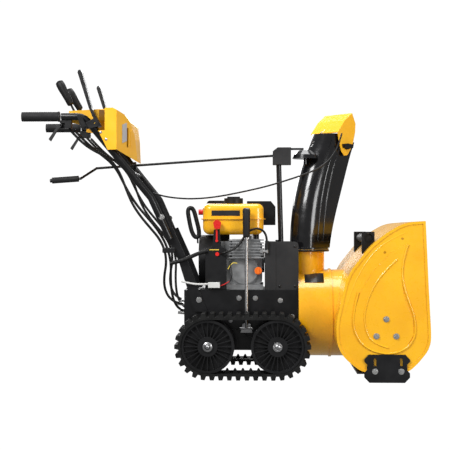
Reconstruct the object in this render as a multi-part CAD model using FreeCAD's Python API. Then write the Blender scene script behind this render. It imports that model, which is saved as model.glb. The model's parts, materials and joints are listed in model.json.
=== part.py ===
import FreeCAD, Part
import math
import os
from FreeCAD import Rotation, Vector

# Two stage tracked snowblower. Millimetres, +X forward, +Y to the operator's left, +Z up.
# The origin is on the ground under the centre of the whole machine.

# Driving dimensions of the intake housing and its auger
plate_outer_y = 302.0
sheet = 3.0
housing_outline = [
    (680, 540), (609, 534), (555, 504), (497, 458), (420, 361), (399, 275), (381, 190),
    (385, 128), (401, 92), (432, 61), (470, 34), (620, 34), (651, 61), (686, 104),
    (697, 134), (697.5, 172), (690, 309),
]
sharp_corners = (0,)
auger_x = 549.0
auger_z = 174.0
auger_radius = 128.0
auger_shaft_radius = 10.0
running_gap = 0.05

# Driving dimensions of the impeller barrel and the chute
impeller_z = 212.0
barrel_radius = 155.0
barrel_back_x = 262.0
chute_x = 290.0
chute_yaw = 42.0
neck_radius = 67.0
ring_radius = 84.0
neck_top_z = 440.0
chute_half_width = 58.0
chute_top_z = 862.0
tilt_u = 140.0
tilt_z = 815.0
deflector_half_width = 70.0
turn_gap = 0.3

# Driving dimensions of the chassis, the tracks and the engine
chassis_half_width = 120.0
chassis_back_x = -141.0
deck_z = 299.0
axle_z = 113.0
drive_x = 187.0
idler_x = -51.0
wheel_radius = 91.0
belt_thickness = 8.0
lug_height = 13.4
track_centre_y = 213.0
track_width = 110.0
crank_z = 400.0
pulley_x = (167.0, 184.0)

# Driving dimensions of the handles
handle_z = 902.0
handle_y = 210.0
handle_tube = 12.5
handle_points = [(-560, 902), (-482, 902), (-254, 622), (-190, 478)]
rod_start = Vector(-470, 0, 735)
rod_end = Vector(178, 0, 779.6)
rod_radius = 4.5


def block(x, y, z):
    """Box between a low and a high value on each axis."""
    return Part.makeBox(x[1] - x[0], y[1] - y[0], z[1] - z[0], Vector(x[0], y[0], z[0]))


def rod(radius, start, end):
    """Round bar from one point to another."""
    low = Vector(*start)
    run = Vector(*end) - low
    return Part.makeCylinder(radius, run.Length, low, run)


def tube(outer, inner, start, end):
    """Round tube from one point to another."""
    return rod(outer, start, end).cut(rod(inner, start, end))


def plate_y(points, y_low, y_high):
    """Outline of (x, z) points, thickened along Y."""
    face = Part.Face(Part.makePolygon([Vector(x, y_low, z) for x, z in points + points[:1]]))
    return face.extrude(Vector(0, y_high - y_low, 0))


def plate_z(points, z_low, z_high):
    """Outline of (x, y) points, thickened along Z."""
    face = Part.Face(Part.makePolygon([Vector(x, y, z_low) for x, y in points + points[:1]]))
    return face.extrude(Vector(0, 0, z_high - z_low))


def fuse(shapes):
    """One solid from touching or overlapping shapes."""
    shape = shapes[0]
    for other in shapes[1:]:
        shape = shape.fuse(other)
    return shape.removeSplitter()


def mirrored(shape):
    """Copy of a shape on the other side of the middle plane."""
    return shape.mirror(Vector(0, 0, 0), Vector(0, 1, 0))


def round_edges(shape, radius, axis):
    """Fillet the straight edges that run along one axis."""
    edges = []
    for edge in shape.Edges:
        if edge.Curve.TypeId != "Part::GeomLine":
            continue
        if abs(edge.tangentAt(edge.FirstParameter).dot(axis)) > 0.999:
            edges.append(edge)
    return shape.makeFillet(radius, edges)


def swept_tube(name, points, radius, bend=None):
    """Round tube along straight runs joined by tangent arcs."""
    nodes = [Vector(*point) for point in points]
    edges = []
    radii = []
    last = nodes[0]
    for before, corner, after in zip(nodes, nodes[1:], nodes[2:]):
        way_in = corner - before
        way_out = after - corner
        turn = way_in.getAngle(way_out)
        arc = bend or 0.45 * min(way_in.Length, way_out.Length) / math.tan(turn / 2)
        reach = arc * math.tan(turn / 2)
        way_in.normalize()
        way_out.normalize()
        inward = (way_out - way_in).normalize()
        centre = corner + inward * (arc / math.cos(turn / 2))
        arc_start = corner - way_in * reach
        arc_end = corner + way_out * reach
        edges.append(Part.LineSegment(last, arc_start).toShape())
        edges.append(Part.Arc(arc_start, centre - inward * arc, arc_end).toShape())
        last = arc_end
        radii.append(arc)
    edges.append(Part.LineSegment(last, nodes[-1]).toShape())
    path = Part.Wire(edges)
    circle = Part.Circle(nodes[0], nodes[1] - nodes[0], radius).toShape()
    solid = path.makePipeShell([Part.Wire(circle)], True, False)
    ideal = math.pi * radius ** 2 * path.Length
    print(f"{name}: smallest radius {min(radii):.0f}, volume ratio {solid.Volume / ideal:.4f}")
    return solid


def save(name, shape):
    """Write one sub-part as a STEP file of closed solids."""
    solids = shape.Solids
    if not solids or not shape.isValid():
        print("PROBLEM", name, len(solids), shape.isValid())
    whole = solids[0] if len(solids) == 1 else Part.makeCompound(solids)
    whole.exportStep(f"parts/{name}.step")


def outline_face(points, inset, y):
    """Housing outline face at one Y with rounded corners, moved inward by a distance."""
    corners = [Vector(x, y, z) for x, z in points]
    edges = []
    ends = []
    for k, corner in enumerate(corners):
        way_in = corner - corners[k - 1]
        way_out = corners[(k + 1) % len(corners)] - corner
        reach = 0.45 * min(way_in.Length, way_out.Length)
        if k in sharp_corners:
            reach = 3.0
        arc = reach / math.tan(way_in.getAngle(way_out) / 2)
        way_in.normalize()
        way_out.normalize()
        inward = (way_out - way_in).normalize()
        centre = corner + inward * math.hypot(arc, reach)
        ends.append((corner - way_in * reach, centre - inward * arc, corner + way_out * reach))
    for k, (start, middle, end) in enumerate(ends):
        edges.append(Part.Arc(start, middle, end).toShape())
        edges.append(Part.LineSegment(end, ends[(k + 1) % len(ends)][0]).toShape())
    face = Part.Face(Part.Wire(edges))
    if inset:
        face = face.makeOffset2D(-inset)
    return face


# Intake housing

def housing_solid(inset, half_width):
    """Solid block with the housing's side outline."""
    face = outline_face(housing_outline, inset, -half_width)
    return face.extrude(Vector(0, 2 * half_width, 0))


def side_plate():
    """Right side plate with a folded rim, an embossed panel and its bolt holes."""
    inner_y = -plate_outer_y + 6
    sheet_solid = outline_face(housing_outline, 0, inner_y).extrude(Vector(0, -sheet, 0))
    rim_out = outline_face(housing_outline, 0, inner_y - sheet).extrude(Vector(0, -sheet, 0))
    rim_in = outline_face(housing_outline, 9, inner_y - sheet).extrude(Vector(0, -sheet, 0))
    emboss = plate_y(
        [(622, 464), (566, 436), (505, 372), (462, 300), (440, 228), (446, 160), (484, 110), (552, 94),
         (612, 112), (640, 160), (638, 214), (612, 270), (600, 340), (606, 410)],
        inner_y - sheet - 2, inner_y - sheet,
    )
    plate = fuse([sheet_solid, rim_out.cut(rim_in), emboss])
    for x, z in ((544, 435), (603, 481)):
        plate = plate.cut(rod(4.5, (x, -320, z), (x, -280, z)))
    return plate


def housing_shell():
    """Sheet that wraps the back of the auger, open to the front."""
    half_width = plate_outer_y - 6
    shell = housing_solid(0, half_width).cut(housing_solid(sheet, half_width + 1))
    mouth = block((612, 720), (-400, 400), (38, 530.5))
    shell = shell.cut(mouth)
    return shell.cut(rod(barrel_radius - sheet, (300, 0, impeller_z), (470, 0, impeller_z)))


def impeller_barrel():
    """Round impeller barrel with its back wall, outlet neck and neck flange."""
    back = (barrel_back_x, 0, impeller_z)
    outer = rod(barrel_radius, back, (470, 0, impeller_z)).cut(housing_solid(0, 296))
    neck_outer = Part.makeCylinder(neck_radius + 1, neck_top_z - 320, Vector(chute_x, 0, 320))
    seam = tube(barrel_radius + 4, barrel_radius - 1, (372, 0, impeller_z), (380, 0, impeller_z))
    seam = seam.cut(housing_solid(0, 296))
    flange = Part.makeCylinder(ring_radius, 6, Vector(chute_x, 0, neck_top_z - 6))
    body = fuse([outer, neck_outer, flange, seam])
    inside = rod(barrel_radius - sheet, (barrel_back_x + 4, 0, impeller_z), (480, 0, impeller_z))
    throat = Part.makeCylinder(neck_radius - 2, 150, Vector(chute_x, 0, 323))
    body = body.cut(inside).cut(throat)
    return body.cut(rod(auger_shaft_radius + running_gap, (250, 0, impeller_z), (280, 0, impeller_z)))


def skid_shoe():
    """Right skid shoe with notched ends and two slots."""
    y = -plate_outer_y
    shoe = plate_y(
        [(492, 0), (610, 0), (627, 18), (627, 32), (618, 42), (618, 62), (627, 70), (627, 78),
         (612, 94), (490, 94), (475, 78), (475, 70), (484, 62), (484, 42), (475, 32), (475, 18)],
        y - 4, y)
    for x in (511, 598):
        shoe = shoe.cut(block((x - 4, x + 4), (y - 10, y + 10), (56, 82)))
    return shoe


def bolt(x, y, z, side, radius=7.0, head=4.0):
    """Round washer and hexagon head that stand out along Y."""
    washer = rod(radius + 3, (x, y, z), (x, y + side * 1.5, z))
    corners = [
        (x + radius * math.cos(math.radians(60 * k)), z + radius * math.sin(math.radians(60 * k)))
        for k in range(6)
    ]
    low, high = sorted((y + side * 1.5, y + side * (1.5 + head)))
    return washer.fuse(plate_y(corners, low, high))


def all_bolts():
    """Bolt heads of the housing, the skid shoes and the chassis."""
    shapes = []
    for side in (-1, 1):
        for k in range(3):
            angle = math.radians(90 + 120 * k)
            x = auger_x + 38 * math.cos(angle)
            z = auger_z + 38 * math.sin(angle)
            shapes.append(bolt(x, side * (plate_outer_y + 0.5), z, side))
        for x in (511, 598):
            shapes.append(bolt(x, side * (plate_outer_y + 4), 38, side))
        for x, z in ((198, 262), (53, 270), (110, 270), (240, 205)):
            shapes.append(bolt(x, side * chassis_half_width, z, side, 6.0))
        for x, z in ((-88, 264), (-217, 555)):
            y = 128 if z < 300 else handlebar_y(x) + handle_tube
            shapes.append(bolt(x, side * y, z, side, 7.0))
    return Part.makeCompound(shapes)


def auger_bearings():
    """Flanged bearings on the inner faces of both side plates."""
    shapes = []
    for side in (-1, 1):
        y_plate = side * (plate_outer_y - 6)
        sleeve = rod(20, (auger_x, side * 280, auger_z), (auger_x, y_plate, auger_z))
        flange = rod(50, (auger_x, side * 292, auger_z), (auger_x, y_plate, auger_z))
        bore = rod(auger_shaft_radius + running_gap, (auger_x, side * 270, auger_z),
                   (auger_x, side * 294.5, auger_z))
        shapes.append(fuse([sleeve, flange]).cut(bore))
    return Part.makeCompound(shapes)


def auger_gearbox():
    """Worm gear case between the two halves of the auger."""
    outer = rod(44, (auger_x, -30, auger_z), (auger_x, 30, auger_z))
    outer = outer.fuse(rod(26, (480, 0, impeller_z), (600, 0, impeller_z)))
    outer = outer.fuse(rod(20, (auger_x, -40, auger_z), (auger_x, 40, auger_z)))
    inner = rod(34, (auger_x, -20, auger_z), (auger_x, 20, auger_z))
    inner = inner.fuse(rod(17, (500, 0, impeller_z), (592, 0, impeller_z)))
    inner = inner.fuse(rod(14, (auger_x, -34, auger_z), (auger_x, 34, auger_z)))
    case = outer.cut(inner)
    case = case.cut(rod(10.05, (470, 0, impeller_z), (505, 0, impeller_z)))
    return case.cut(rod(10.05, (auger_x, -50, auger_z), (auger_x, 50, auger_z)))


def auger_half(side):
    """One ribbon flight on its sleeve, with the arms that carry it."""
    near = 44
    far = 272
    pitch = (far - near - 14) / 1.5
    sleeve = rod(16, (auger_x, near, auger_z), (auger_x, far, auger_z))
    outer = Part.makeHelix(pitch, pitch * 1.5, auger_radius)
    inner = Part.makeHelix(pitch, pitch * 1.5, auger_radius - 45)
    ribbon = Part.makeRuledSurface(outer, inner).extrude(Vector(0, 0, 4))
    ribbon.Placement = FreeCAD.Placement(
        Vector(auger_x, near + 4, auger_z), Rotation(Vector(1, 0, 0), -90))
    shapes = [sleeve, ribbon]
    for k in range(4):
        along = near + 4 + pitch * k / 2
        way = 1 if k % 2 == 0 else -1
        x = sorted((auger_x, auger_x + way * (auger_radius - 30)))
        y = (max(along - 3, near + 1), along + 5)
        shapes.append(block(x, y, (auger_z - 9, auger_z + 9)))
    half = fuse(shapes)
    if side < 0:
        half = mirrored(half)
        half.rotate(Vector(auger_x, 0, auger_z), Vector(0, 1, 0), 90)
    return half


def auger():
    """Auger shaft with the worm wheel and both flights."""
    end = plate_outer_y - 8
    shaft = rod(auger_shaft_radius, (auger_x, -end, auger_z), (auger_x, end, auger_z))
    wheel = rod(27, (auger_x, -9, auger_z), (auger_x, 9, auger_z))
    return fuse([shaft, wheel, auger_half(1), auger_half(-1)])


def impeller():
    """Four bladed impeller with bent blade tips, pinned on its shaft."""
    front_x = 360
    hub = rod(22, (280, 0, impeller_z), (front_x, 0, impeller_z))
    disc = rod(60, (280, 0, impeller_z), (284, 0, impeller_z))
    shapes = [hub, disc]
    for k in range(4):
        blade = block((280, front_x), (-2, 2), (impeller_z + 10, impeller_z + barrel_radius - 14))
        tip = block((280, front_x), (-2, 20),
                    (impeller_z + barrel_radius - 18, impeller_z + barrel_radius - 14))
        vane = blade.fuse(tip)
        vane.rotate(Vector(0, 0, impeller_z), Vector(1, 0, 0), 90 * k + 20)
        shapes.append(vane)
    body = fuse(shapes)
    return body.cut(rod(auger_shaft_radius, (270, 0, impeller_z), (370, 0, impeller_z)))


def grooved_pulley(radius, x_low, x_high, z, bore):
    """V belt pulley about an X axis."""
    middle = (x_low + x_high) / 2
    half = (x_high - x_low) / 2
    profile = [(x_low, 0), (x_high, 0), (x_high, radius), (middle + half * 0.7, radius),
               (middle + half * 0.3, radius - 11), (middle - half * 0.3, radius - 11),
               (middle - half * 0.7, radius), (x_low, radius)]
    points = [Vector(x, 0, z + r) for x, r in profile + profile[:1]]
    wheel = Part.Face(Part.makePolygon(points)).revolve(Vector(0, 0, z), Vector(1, 0, 0), 360)
    return wheel.cut(rod(bore, (x_low - 1, 0, z), (x_high + 1, 0, z))) if bore else wheel


def impeller_shaft():
    """Shaft from the belt pulley through the impeller to the worm."""
    shaft = rod(auger_shaft_radius, (166.5, 0, impeller_z), (588, 0, impeller_z))
    pulley = grooved_pulley(72, *pulley_x, impeller_z, 0)
    return fuse([shaft, pulley])


def crankshaft():
    """Engine output shaft with its two belt pulleys."""
    shaft = rod(10, (-20, 0, crank_z), (188, 0, crank_z))
    front = grooved_pulley(34, *pulley_x, crank_z, 0)
    back = grooved_pulley(30, 150, 167, crank_z, 0)
    return fuse([shaft, front, back])


def belt_loop(x_low, x_high, top, bottom):
    """Flat loop of belt round two pulleys, given as (z, radius) pairs."""
    def loop(grow):
        z_top, r_top = top
        z_bottom, r_bottom = bottom
        lean = math.asin((r_bottom - r_top) / (z_top - z_bottom))
        points = []
        for k in range(25):
            angle = lean + (math.pi - 2 * lean) * k / 24
            points.append(((r_top + grow) * math.cos(angle), z_top + (r_top + grow) * math.sin(angle)))
        for k in range(25):
            angle = math.pi - lean + (math.pi + 2 * lean) * k / 24
            points.append(
                ((r_bottom + grow) * math.cos(angle), z_bottom + (r_bottom + grow) * math.sin(angle)))
        ring = [Vector(x_low, y, z) for y, z in points]
        return Part.Face(Part.makePolygon(ring + ring[:1])).extrude(Vector(x_high - x_low, 0, 0))
    return loop(7).cut(loop(0))


def drive_belts():
    """Auger belt and drive belt, clear of the pulley grooves."""
    auger_belt = belt_loop(172.2, 178.8, (crank_z, 35.0), (impeller_z, 73.0))
    drive_belt = belt_loop(155.2, 161.8, (crank_z, 31.0), (190, 57.0))
    return Part.makeCompound([auger_belt, drive_belt])


def drive_disc():
    """Friction drive disc on its pulley shaft."""
    shaft = rod(8, (72, 0, 190), (166, 0, 190))
    pulley = grooved_pulley(56, 150, 166, 190, 0)
    disc = rod(62, (84, 0, 190), (90, 0, 190))
    return fuse([shaft, pulley, disc])


def hex_shaft():
    """Cross shaft with the rubber friction wheel."""
    shaft = rod(7, (23, -116.5, 190), (23, 116.5, 190))
    hub = rod(24, (23, 20, 190), (23, 44, 190))
    wheel = rod(60.5, (23, 26, 190), (23, 36, 190))
    return fuse([shaft, hub, wheel])


# Chassis, engine and belt cover

def chassis_frame():
    """Folded sheet box that carries the engine, with holes for the shafts."""
    x = (chassis_back_x, barrel_back_x)
    half = chassis_half_width
    outer = block(x, (-half, half), (87, deck_z))
    inner = block((x[0] + 3, x[1] + 1), (-half + 3, half - 3), (80, deck_z - 3))
    box = outer.cut(inner)
    box = box.cut(block((145, 200), (-84, 84), (280, 310)))
    for y in (-1, 1):
        corner = plate_y([(-160, 60), (-12, 60), (-12, 132), (-40, 146), (-90, 146), (-141, 180),
                          (-160, 180)], y * 119 - 6, y * 119 + 6)
        box = box.cut(corner)
        box = box.cut(rod(11.05, (drive_x, y * 100, axle_z), (drive_x, y * 130, axle_z)))
        box = box.cut(rod(7.05, (23, y * 100, 190), (23, y * 130, 190)))
    carrier = block((132, 140), (-117, 117), (170, 215)).cut(rod(8.05, (120, 0, 190), (150, 0, 190)))
    saddle = block((243, 249), (-117, 117), (180, 240))
    saddle = saddle.cut(rod(10.05, (230, 0, impeller_z), (260, 0, impeller_z)))
    return fuse([box, carrier, saddle])


def belt_cover():
    """Hollow cover over both belts, hollowed round the chute and the barrel."""
    def solid(inset):
        body = block((143 + inset, barrel_back_x - inset), (-115 + inset, 115 - inset),
                     (deck_z - (1 if inset else 0), 468 - inset))
        body = body.cut(Part.makeCylinder(97 + inset, 300, Vector(chute_x, 0, 280)))
        return body
    body = round_edges(block((143, barrel_back_x), (-115, 115), (deck_z, 468)), 12, Vector(0, 1, 0))
    body = body.cut(Part.makeCylinder(97, 300, Vector(chute_x, 0, 280)))
    cover = body.cut(solid(sheet))
    step = block((143, 182), (-117.5, -115), (deck_z, 452))
    cover = cover.cut(rod(11, (140, 0, crank_z), (150, 0, crank_z)))
    return fuse([cover, step])


def crankcase():
    """Engine crankcase on its mounting feet."""
    case = block((-40, 134), (-78, 78), (315, 470))
    case = round_edges(case, 18, Vector(0, 1, 0))
    foot = block((-48, 138), (-98, 98), (deck_z, 317))
    side = rod(50, (70, -78, 368), (70, -90, 368))
    bearing = rod(44, (134, 0, crank_z), (142, 0, crank_z))
    neck = rod(9, (120, -78, 366), (120, -100, 366))
    case = fuse([case, foot, side, bearing, neck])
    return case.cut(rod(10.05, (-30, 0, crank_z), (150, 0, crank_z)))


def cylinder_head():
    """Finned cylinder and head beside the crankcase, under the tank."""
    core = block((28, 128), (-112, -79), (412, 478))
    shapes = [core]
    for k in range(7):
        z = 410 + 10.4 * k
        shapes.append(block((17, 140), (-118, -79), (z, z + 4)))
    shapes.append(rod(9, (96, -98, 476), (96, -98, 491)))
    shapes.append(rod(6, (132, -112, 434), (132, -130, 434)))
    shapes.append(rod(5, (132, -124.4, 434), (151, -124.4, 434)))
    shapes.append(rod(5, (151, -124.4, 429), (151, -124.4, 440.8)))
    return fuse(shapes)


def fuel_tank():
    """Pressed tank in two halves with a seam flange and a filler neck."""
    body = round_edges(block((-77, 139), (-105, 72), (493, 603)), 30, Vector(0, 0, 1))
    top = [edge for edge in body.Edges if edge.CenterOfMass.z > 602]
    body = body.makeFillet(20, top)
    bottom = [edge for edge in body.Edges if edge.CenterOfMass.z < 494]
    body = body.makeFillet(26, bottom)
    seam = round_edges(block((-84, 146), (-112, 79), (547.5, 550.5)), 32, Vector(0, 0, 1))
    neck = rod(24, (31, -30, 600), (31, -30, 608))
    return fuse([body, seam, neck])


def muffler():
    """Muffler box with a chamfered guard, beside the tank, on its pipe."""
    box = plate_y([(77, 528), (183, 528), (183, 596), (166, 617), (77, 617)], 84, 158)
    pipe = rod(12, (110, 100, 470), (110, 100, 530))
    elbow = rod(12, (110, 78, 455), (110, 110, 455)).fuse(rod(12, (110, 100, 450), (110, 100, 475)))
    return fuse([box, pipe, elbow])


def air_box():
    """Heated air box with the carburettor behind the tank."""
    body = round_edges(block((-72, 20), (84, 150), (520, 619)), 12, Vector(0, 1, 0))
    carburettor = block((-36, 12), (78, 110), (440, 522))
    return fuse([body, carburettor])


def recoil_cover():
    """Recoil starter cover at the back of the engine, with cooling slots."""
    body = rod(92, (-92, 0, 400), (-40, 0, 400))
    body = body.cut(rod(88, (-88, 0, 400), (-39, 0, 400)))
    for k in range(9):
        z = 336 + 16 * k
        half = 0.72 * math.sqrt(92 ** 2 - (z - 400) ** 2)
        body = body.cut(block((-100, -86), (-half, half), (z - 3, z + 3)))
    return body


def control_panel():
    """Engine control panel with the switch housing."""
    panel = plate_y([(-66, 300), (8, 300), (8, 440), (-14, 452), (-66, 436)], -122, -99)
    bracket = plate_y([(-42, 452), (-10, 452), (-16, 512), (-36, 512)], -118, -114)
    foot = block((-42, -10), (-118, -99), (444, 453))
    panel = fuse([panel, bracket, foot])
    panel = panel.cut(rod(7.3, (-24, -130, 425), (-24, -108, 425)))
    return panel


# Tracks

def track_outline(radius):
    """Stadium outline round both wheel centres."""
    points = []
    for k in range(33):
        angle = math.radians(-90 + 180 * k / 32)
        points.append((drive_x + radius * math.cos(angle), axle_z + radius * math.sin(angle)))
    for k in range(33):
        angle = math.radians(90 + 180 * k / 32)
        points.append((idler_x + radius * math.cos(angle), axle_z + radius * math.sin(angle)))
    return points


def right_track():
    """Endless rubber track with tread lugs."""
    y_low = -track_centre_y - track_width / 2
    y_high = -track_centre_y + track_width / 2
    inner_radius = wheel_radius + turn_gap + 0.3
    outer_radius = inner_radius + belt_thickness
    belt = plate_y(track_outline(outer_radius), y_low, y_high)
    belt = belt.cut(plate_y(track_outline(inner_radius), y_low - 1, y_high + 1))
    lug = plate_y([(-10, -1.5), (10, -1.5), (6.5, lug_height), (-6.5, lug_height)], y_low, y_high)
    lugs = []
    span = drive_x - idler_x
    for k in range(8):
        x = idler_x + span * (k + 0.5) / 8
        top = lug.translated(Vector(x, 0, axle_z + outer_radius))
        under = lug.mirror(Vector(0, 0, 0), Vector(0, 0, 1))
        lugs.append(top)
        lugs.append(under.translated(Vector(x, 0, axle_z - outer_radius)))
    for centre, start in ((drive_x, 0), (idler_x, 180)):
        for k in range(11):
            piece = lug.translated(Vector(centre, 0, axle_z + outer_radius))
            piece.rotate(Vector(centre, 0, axle_z), Vector(0, 1, 0), start + 180 * (k + 0.5) / 11)
            lugs.append(piece)
    return belt.multiFuse(lugs)


def ribbed_wheel(x, teeth):
    """Right track wheel with a hub and radial ribs on its outer face."""
    y_out = -track_centre_y - track_width / 2 + 5
    y_in = -track_centre_y + track_width / 2 - 5
    body = rod(wheel_radius, (x, y_out, axle_z), (x, y_in, axle_z))
    for face, depth in ((y_out, 12), (y_in, -12)):
        ring = tube(wheel_radius - 9, 34, (x, face, axle_z), (x, face + depth, axle_z))
        body = body.cut(ring)
    ribs = []
    for k in range(teeth):
        rib = block((x - 1.6, x + 1.6), (y_out + 2, y_out + 12.5), (axle_z + 33, axle_z + wheel_radius - 8))
        rib.rotate(Vector(x, 0, axle_z), Vector(0, 1, 0), 360 * k / teeth)
        ribs.append(rib)
    return body.multiFuse(ribs)


def drive_wheels():
    """Front wheels, pinned to the drive axle."""
    wheel = ribbed_wheel(drive_x, 24).cut(rod(11, (drive_x, -300, axle_z), (drive_x, -100, axle_z)))
    return Part.makeCompound([wheel, mirrored(wheel)])


def idler_wheels():
    """Rear wheels, free on the ends of the track frame."""
    wheel = ribbed_wheel(idler_x, 24)
    wheel = wheel.cut(rod(11.05, (idler_x, -300, axle_z), (idler_x, -100, axle_z)))
    return Part.makeCompound([wheel, mirrored(wheel)])


def drive_axle():
    """Axle through the chassis with a splined end in each hub."""
    shaft = rod(11, (drive_x, -262, axle_z), (drive_x, 262, axle_z))
    ends = []
    for side in (-1, 1):
        ends.append(rod(16, (drive_x, side * 263, axle_z), (drive_x, side * 267, axle_z)))
    return fuse([shaft] + ends)


def track_frame():
    """Swinging frame between the wheels that holds the rear axle."""
    axle = rod(11, (idler_x, -262, axle_z), (idler_x, 262, axle_z))
    shapes = [axle]
    for side in (-1, 1):
        low, high = sorted((side * 124, side * 131))
        arm = plate_y([(idler_x - 16, 97), (drive_x + 16, 97), (drive_x + 16, 129), (80, 136),
                       (58, 160), (28, 160), (10, 136), (idler_x - 16, 129)], low, high)
        shapes.append(arm.cut(rod(11.05, (drive_x, side * 100, axle_z), (drive_x, side * 140, axle_z))))
        shapes.append(rod(20, (idler_x, side * 263.3, axle_z), (idler_x, side * 266, axle_z)))
        shapes.append(rod(9, (idler_x, side * 262, axle_z), (idler_x, side * 271, axle_z)))
    return fuse(shapes)


def height_lever():
    """Lever that raises and lowers the intake, with its pivot bracket."""
    y = -138
    stem = rod(5.5, (79, y, 165), (79, y, 500))
    grip = rod(12, (79, y, 492), (79, y, 585))
    tongue = plate_y([(58, 150), (100, 150), (92, 182), (66, 182)], y - 2.5, y + 2.5)
    pin = rod(4, (56, y, 165), (102, y, 165))
    return fuse([stem, grip, tongue, pin])


# Chute, deflector and chute drive

def yawed(shape):
    """Turn a shape drawn along +X about the chute axis to the rest direction."""
    shape.rotate(Vector(chute_x, 0, 0), Vector(0, 0, 1), chute_yaw)
    return shape


def chute_section(z, inset):
    """Open U section of the chute at one height, as a closed outline."""
    lift = max(0.0, z - 448.0)
    centre = chute_x + 3 + 78 * (lift / 345) ** 2
    length = 64 + 34 * min(1.0, lift / 200)
    half = chute_half_width - inset
    start = Vector(centre + length, -half, z)
    corner = Vector(centre, -half, z)
    back = Vector(centre - half, 0, z)
    corner_left = Vector(centre, half, z)
    end = Vector(centre + length, half, z)
    return [
        Part.LineSegment(start, corner).toShape(),
        Part.Arc(corner, back, corner_left).toShape(),
        Part.LineSegment(corner_left, end).toShape(),
    ]


def chute_wire(z, inset, extra):
    """Closed D shaped wire; the inner one runs past the outer one's mouth."""
    edges = chute_section(z, inset)
    start = edges[0].Vertexes[0].Point
    end = edges[2].Vertexes[1].Point
    if extra:
        front_start = start + Vector(extra, 0, 0)
        front_end = end + Vector(extra, 0, 0)
        edges[0] = Part.LineSegment(front_start, edges[0].Vertexes[1].Point).toShape()
        edges[2] = Part.LineSegment(edges[2].Vertexes[0].Point, front_end).toShape()
        start, end = front_start, front_end
    edges.append(Part.LineSegment(end, start).toShape())
    return Part.Wire(edges)


def chute_loft(inset, extra, levels):
    """Loft of the chute's sections."""
    return Part.makeLoft([chute_wire(z, inset, extra) for z in levels], True, False)


def chute_body():
    """Turning chute: ring, curved U channel, pivot ears and drive dome."""
    levels = [446, 520, 600, 680, 760, chute_top_z]
    outer = chute_loft(0, 0, levels)
    inner = chute_loft(sheet, 60, [444] + levels[1:-1] + [chute_top_z + 4])
    channel = outer.cut(inner)
    base = neck_top_z + turn_gap
    ring = Part.makeCylinder(ring_radius, 6, Vector(chute_x, 0, base))
    ring = ring.cut(Part.makeCylinder(neck_radius - 14, 30, Vector(chute_x, 0, base - 2)))
    lip = block((chute_x + 50, chute_x + 68), (-50, 50), (base, base + 24))
    lip = lip.cut(Part.makeCylinder(60, 60, Vector(chute_x, 0, base - 2)))
    body = fuse([channel, ring, lip])
    dome = Part.makeCone(47, 42, 14, Vector(chute_x, 0, 768))
    dome = dome.fuse(Part.makeCone(42, 22, 16, Vector(chute_x, 0, 782))).cut(outer)
    stub = rod(7, (chute_x, 0, 748), (chute_x, 0, 772)).cut(outer)
    body = fuse([body, dome, stub])
    crest = [(110, 880), (110, 858), (150, 834), (260, 834), (260, 880)]
    body = body.cut(plate_y([(chute_x + u, z) for u, z in crest], -90, 90))
    pin_x = chute_x + tilt_u
    body = body.cut(rod(5.05, (pin_x, -100, tilt_z), (pin_x, 100, tilt_z)))
    return yawed(body)


def deflector():
    """Tilting deflector that caps the chute's outlet."""
    half = deflector_half_width
    outline = [(97, 867), (134, 911), (172, 940), (190, 902), (188, 870), (178, 834), (160, 800),
               (146, 784), (131, 781), (117, 796), (104, 835)]
    points = [(chute_x + u, z) for u, z in outline]
    inside = [(60, 700), (60, 831), (99.3, 865.1), (136.2, 908.7), (172.6, 936.5), (187, 902)]
    inside = inside + [(240, 880), (220, 700)]
    cavity = plate_y([(chute_x + u, z) for u, z in inside], -half + 3, half - 3)
    body = plate_y(points, -half, half).cut(cavity)
    pin_x = chute_x + tilt_u
    body = body.cut(rod(5.0, (pin_x, -100, tilt_z), (pin_x, 100, tilt_z)))
    return yawed(body)


def deflector_knob():
    """Wing knobs and pivot bolts of the deflector."""
    pin_x = chute_x + tilt_u
    shapes = []
    for side in (-1, 1):
        pin = rod(5.0, (pin_x, side * 50, tilt_z), (pin_x, side * 78, tilt_z))
        low, high = sorted((side * 72, side * 86))
        wing = plate_y([(pin_x - 20, tilt_z - 6), (pin_x + 20, tilt_z - 6), (pin_x + 24, tilt_z + 8),
                        (pin_x + 8, tilt_z + 9), (pin_x - 8, tilt_z + 9), (pin_x - 24, tilt_z + 8)],
                       low, high)
        hub = rod(11, (pin_x, side * 70, tilt_z), (pin_x, side * 80, tilt_z))
        shapes.append(yawed(fuse([pin, hub, wing])))
    return Part.makeCompound(shapes)


def deflector_spring():
    """Tension spring between the chute's back and the deflector, as one bar."""
    bar = rod(5, (chute_x + 26, 0, 812), (chute_x + 100, 0, 880))
    return yawed(bar.cut(chute_loft(0, 0, [700, 760, chute_top_z])))


def chute_post():
    """Post from the belt cover to the chute drive head."""
    post = swept_tube("chute_post", [(202, 0, 463), (198, 0, 600), (194, 0, 745.7)], 9.5)
    foot = block((182, 192.5), (-30, 30), (468, 474))
    return fuse([post, foot]).cut(block((150, 230), (-60, 60), (440, 468)))


def gear_head():
    """Drive head on the post: case for the crank's gear and an arm to the chute axis."""
    case = plate_y([(172, 746), (238, 746), (238, 808), (190, 808), (172, 794)], -26, 26)
    hollow = block((180, 234), (-20, 20), (752, 802))
    arm = block((237, 284), (-6, 6), (800, 807))
    case = fuse([case, arm]).cut(hollow)
    way = (rod_end - rod_start).normalize()
    return case.cut(rod(rod_radius + running_gap, rod_start, rod_start + way * 690))


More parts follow.
